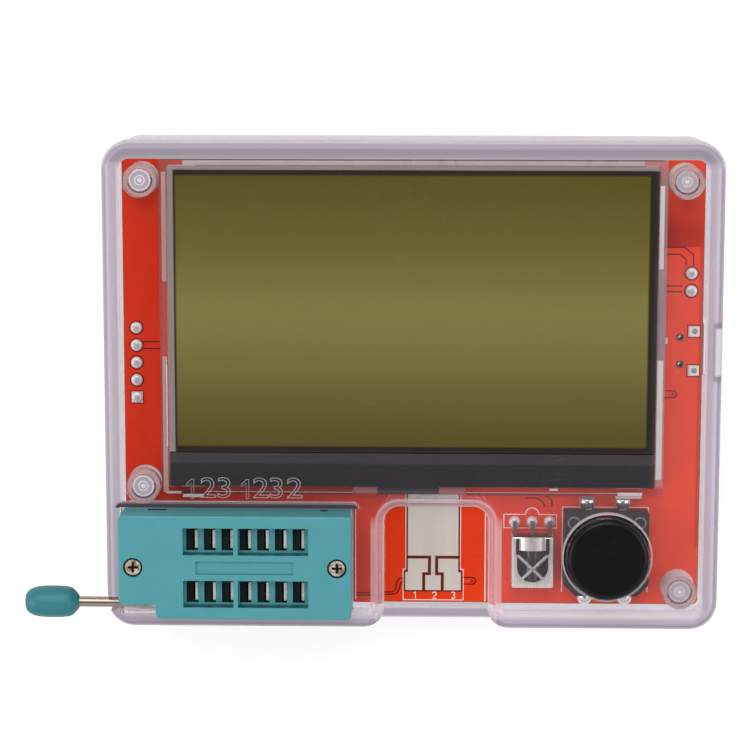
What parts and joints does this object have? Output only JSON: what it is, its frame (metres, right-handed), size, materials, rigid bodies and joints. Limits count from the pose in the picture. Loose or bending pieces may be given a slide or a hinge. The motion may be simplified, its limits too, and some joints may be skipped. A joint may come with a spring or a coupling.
{
  "type": "component tester",
  "caption": "Handheld component tester: clear two-part case, reflective display, teal lever socket with tilting lever, push button, infrared receiver and an open bay with test pads.",
  "frame": {"origin": "middle of the flat base of the rear shell", "axes": "+Z out of the front face, +X to the right seen from the front, +Y towards the display's top edge"},
  "size_m": [0.1, 0.0702, 0.0244],
  "materials": {
    "clear_case": "clear, polished",
    "board_mask": "red solder mask",
    "tinned_land": "tinned, satin",
    "solder": "bright solder",
    "frame_clear": "clear moulding",
    "light_guide": "acrylic",
    "display_glass": "polished",
    "display_film": "olive reflective film",
    "black_tape": "matt",
    "flex_film": "amber film",
    "chip_black": "moulded",
    "teal_plastic": "fine moulded texture",
    "contact_metal": "plated",
    "lever_steel": "drawn wire",
    "screw_steel": "plated",
    "switch_black": "moulded",
    "cap_black": "high gloss",
    "dome_steel": "pressed",
    "lens_dark": "dark resin",
    "shield_tin": "folded tinplate",
    "port_steel": "plated",
    "port_black": "moulded",
    "cell_foil": "satin pouch foil",
    "foam_pad": "double-sided foam",
    "amber_tape": "amber tape",
    "wire_red": "sleeving",
    "wire_black": "sleeving",
    "pin_gold": "plated",
    "can_metal": "drawn can",
    "ferrite": "sintered",
    "copper_wire": "enamelled",
    "ceramic_tan": "fired"
  },
  "bodies": {
    "case": {"front_shell": "clear_case", "rear_shell": "clear_case", "circuit_board": "board_mask", "test_pads": "tinned_land", "backlight_guide": "light_guide", "display_rear_glass": "display_glass", "display_front_glass": "display_glass", "display_polariser": "display_film", "display_frame": "frame_clear", "driver_chip": "chip_black", "display_tail": "flex_film", "ledge_tape": "black_tape", "socket_base": "teal_plastic", "socket_cover": "teal_plastic", "socket_contacts": "contact_metal", "socket_screws": "screw_steel", "switch_housing": "switch_black", "switch_plate": "switch_black", "switch_dome": "dome_steel", "switch_pins": "port_steel", "ir_body": "lens_dark", "ir_shield": "shield_tin", "ir_leads": "port_steel", "usb_shell": "port_steel", "usb_insert": "port_black", "battery_cell": "cell_foil", "battery_pad": "foam_pad", "battery_board": "amber_tape", "battery_lead_positive": "wire_red", "battery_lead_negative": "wire_black", "header_strip": "port_black", "header_pins": "pin_gold", "controller_chip": "chip_black", "controller_leads": "tinned_land", "charger_chip": "chip_black", "charger_leads": "tinned_land", "crystal_can": "can_metal", "coil_core": "ferrite", "coil_winding": "copper_wire", "chip_resistors": "chip_black", "chip_capacitors": "ceramic_tan", "chip_ends": "tinned_land", "transistors": "chip_black", "transistor_leads": "tinned_land", "solder_joints": "solder"},
    "lever": {"socket_lever": "lever_steel", "lever_knob": "teal_plastic"},
    "comb": {"socket_slider": "teal_plastic"},
    "button": {"button_cap": "cap_black", "switch_plunger": "switch_black"}
  },
  "joints": [
    {"name": "lever_swing", "type": "hinge", "parent": "case", "child": "lever", "pos_m": [-0.03735, -0.0318, 0.0181], "axis": [0, 1, 0], "range_deg": [0, 90]},
    {"name": "comb_slide", "type": "slide", "parent": "case", "child": "comb", "axis": [-1, 0, 0], "range_m": [0, 0.0008]},
    {"name": "button_press", "type": "slide", "parent": "case", "child": "button", "axis": [0, 0, -1], "range_m": [0, 0.0003], "stiffness_N_per_m": 5000}
  ],
  "couplings": [
    {"joint": "lever_swing", "follows": "comb_slide", "rad_per_m": 1963.5}
  ]
}
